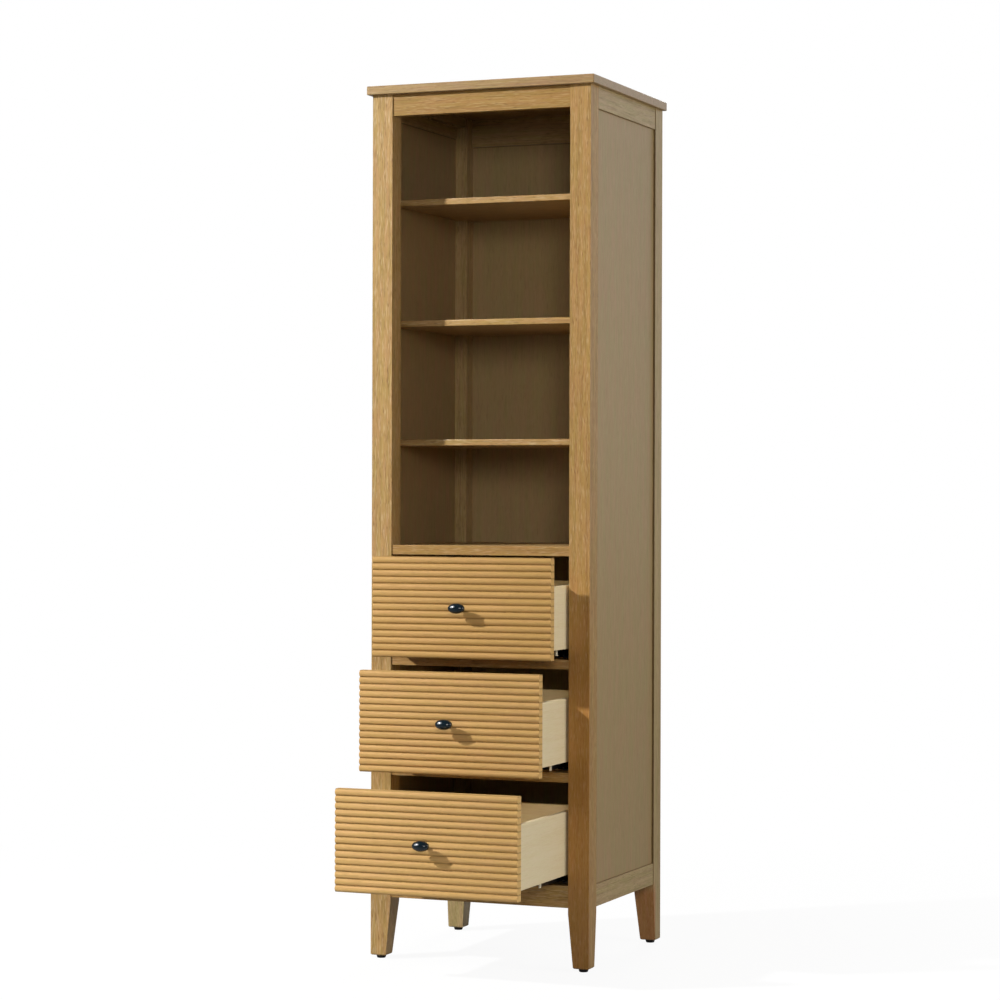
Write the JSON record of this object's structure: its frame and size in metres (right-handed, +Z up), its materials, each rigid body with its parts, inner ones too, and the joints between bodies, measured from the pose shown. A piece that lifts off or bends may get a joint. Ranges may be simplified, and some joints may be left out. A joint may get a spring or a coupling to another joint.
{
  "type": "linen cabinet",
  "caption": "Tall free-standing oak linen cabinet for a bathroom, with open shelves in a post and rail frame over inset reeded drawers on undermount slides.",
  "frame": {"origin": "on the floor, under the middle of the cabinet's body", "axes": "+X to the right as seen from the front, +Y to the back, +Z up"},
  "size_m": [0.508, 0.753, 1.829],
  "materials": {
    "oak_frame": "satin clear lacquer on oak",
    "oak_panel": "satin lacquer on oak veneer",
    "oak_reeded": "satin lacquer on reeded oak",
    "box_wood": "clear sealed pale hardwood",
    "box_ply": "clear sealed thin plywood",
    "batten_wood": "sawn hardwood, unlacquered",
    "slide_steel": "bright zinc plate",
    "screw_steel": "zinc plate",
    "knob_metal": "gloss black enamel",
    "glide_plastic": "satin black nylon"
  },
  "bodies": {
    "carcass": {"leg_front_left": "oak_frame", "leg_front_right": "oak_frame", "leg_back_left": "oak_frame", "leg_back_right": "oak_frame", "front_bottom_rail": "oak_frame", "front_top_rail": "oak_frame", "deck_front_rail": "oak_frame", "drawer_rail_lower": "oak_frame", "drawer_rail_upper": "oak_frame", "back_bottom_rail": "oak_frame", "back_top_rail": "oak_frame", "side_rail_left_bottom": "oak_frame", "side_rail_right_bottom": "oak_frame", "side_rail_left_top": "oak_frame", "side_rail_right_top": "oak_frame", "top_panel": "oak_frame", "back_panel": "oak_panel", "side_panel_left": "oak_panel", "side_panel_right": "oak_panel", "shelf_lower": "oak_panel", "shelf_middle": "oak_panel", "shelf_upper": "oak_panel", "fixed_deck": "oak_panel", "top_cleats": "batten_wood", "slide_battens": "batten_wood", "top_screws": "screw_steel", "slide_screws": "screw_steel", "floor_glides": "glide_plastic", "slide_rails": "slide_steel", "base_board": "box_ply"},
    "drawer_lower": {"drawer_lower_front": "oak_reeded", "drawer_lower_box_front": "box_wood", "drawer_lower_side_left": "box_wood", "drawer_lower_side_right": "box_wood", "drawer_lower_back": "box_wood", "drawer_lower_bottom": "box_ply", "drawer_lower_knob": "knob_metal", "drawer_lower_screws": "screw_steel", "drawer_lower_runners": "slide_steel"},
    "slide_lower": {"slide_middle_lower": "slide_steel"},
    "drawer_middle": {"drawer_middle_front": "oak_reeded", "drawer_middle_box_front": "box_wood", "drawer_middle_side_left": "box_wood", "drawer_middle_side_right": "box_wood", "drawer_middle_back": "box_wood", "drawer_middle_bottom": "box_ply", "drawer_middle_knob": "knob_metal", "drawer_middle_screws": "screw_steel", "drawer_middle_runners": "slide_steel"},
    "slide_middle": {"slide_middle_middle": "slide_steel"},
    "drawer_upper": {"drawer_upper_front": "oak_reeded", "drawer_upper_box_front": "box_wood", "drawer_upper_side_left": "box_wood", "drawer_upper_side_right": "box_wood", "drawer_upper_back": "box_wood", "drawer_upper_bottom": "box_ply", "drawer_upper_knob": "knob_metal", "drawer_upper_screws": "screw_steel", "drawer_upper_runners": "slide_steel"},
    "slide_upper": {"slide_middle_upper": "slide_steel"}
  },
  "joints": [
    {"name": "drawer_lower_pull", "type": "slide", "parent": "carcass", "child": "drawer_lower", "axis": [0, -1, 0], "range_m": [-0.276, 0.074]},
    {"name": "drawer_middle_pull", "type": "slide", "parent": "carcass", "child": "drawer_middle", "axis": [0, -1, 0], "range_m": [-0.163, 0.187]},
    {"name": "drawer_upper_pull", "type": "slide", "parent": "carcass", "child": "drawer_upper", "axis": [0, -1, 0], "range_m": [-0.1, 0.25]},
    {"name": "slide_lower_run", "type": "slide", "parent": "carcass", "child": "slide_lower", "axis": [0, -1, 0], "range_m": [-0.138, 0.037]},
    {"name": "slide_middle_run", "type": "slide", "parent": "carcass", "child": "slide_middle", "axis": [0, -1, 0], "range_m": [-0.0815, 0.0935]},
    {"name": "slide_upper_run", "type": "slide", "parent": "carcass", "child": "slide_upper", "axis": [0, -1, 0], "range_m": [-0.05, 0.125]}
  ],
  "couplings": [
    {"joint": "slide_lower_run", "follows": "drawer_lower_pull", "ratio": 0.5},
    {"joint": "slide_middle_run", "follows": "drawer_middle_pull", "ratio": 0.5},
    {"joint": "slide_upper_run", "follows": "drawer_upper_pull", "ratio": 0.5}
  ]
}
